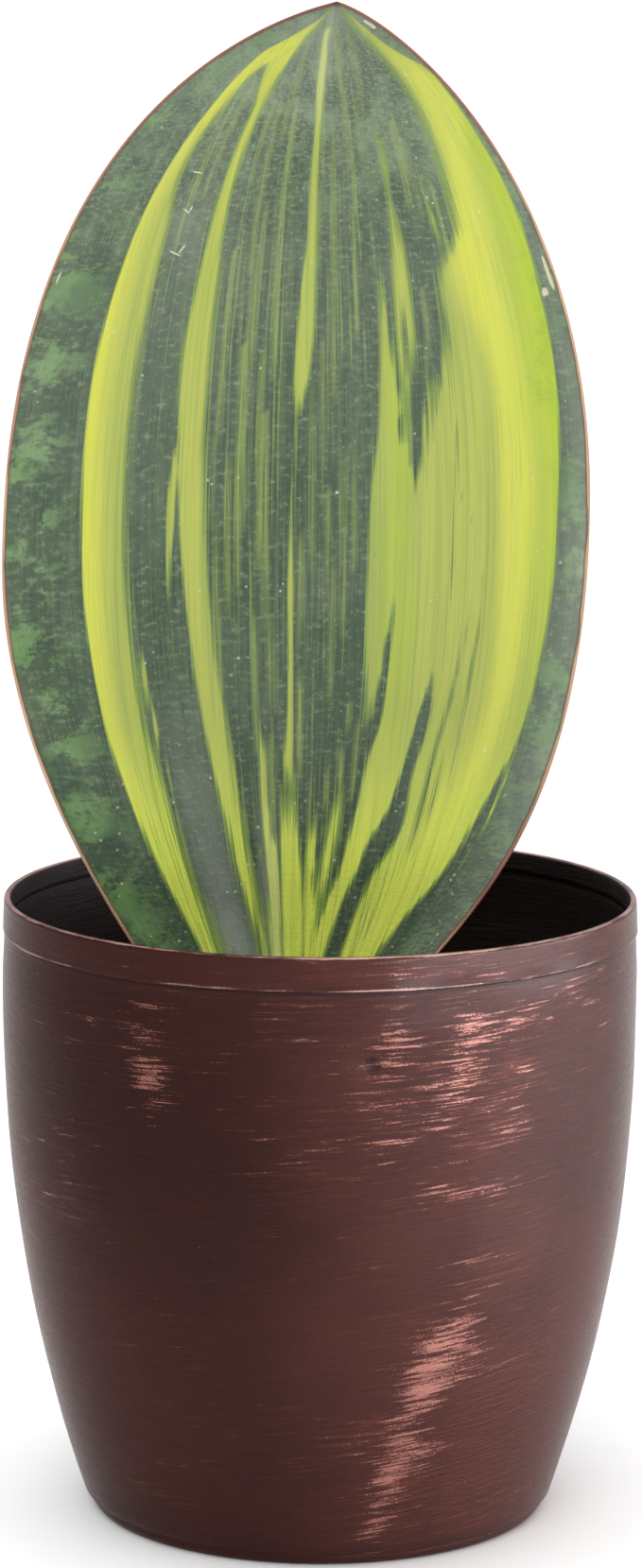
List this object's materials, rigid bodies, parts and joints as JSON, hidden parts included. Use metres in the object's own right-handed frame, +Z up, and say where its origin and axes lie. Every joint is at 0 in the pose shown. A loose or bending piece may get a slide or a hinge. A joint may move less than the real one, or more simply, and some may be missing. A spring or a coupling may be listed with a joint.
{
  "type": "potted snake plant",
  "caption": "Single broad variegated whale-fin snake plant leaf in a grow pot, standing in a round brushed copper metal cover pot.",
  "frame": {"origin": "centre of the cover pot's flat base, on the surface it stands on", "axes": "+Z up along the pot's axis, -Y towards the front, which the leaf's hollow face looks towards, +X to the right seen from the front"},
  "size_m": [0.1506, 0.1506, 0.3574],
  "materials": {
    "copper_lacquer": "satin",
    "black_plastic": "satin",
    "potting_mix": "matte",
    "perlite": "matte",
    "bark": "matte",
    "leaf": "satin",
    "sheath": "satin",
    "rhizome": "matte",
    "root": "matte"
  },
  "bodies": {
    "root": {"pot_body": "copper_lacquer", "rim_band": "copper_lacquer", "nursery_pot": "black_plastic", "potting_mix": "potting_mix", "perlite": "perlite", "bark_chips": "bark", "leaf": "leaf", "sheath_front": "sheath", "sheath_back": "sheath", "rhizome": "rhizome", "root_1": "root", "root_2": "root", "root_3": "root", "root_4": "root", "root_5": "root", "root_6": "root", "root_7": "root", "root_8": "root"}
  },
  "joints": []
}
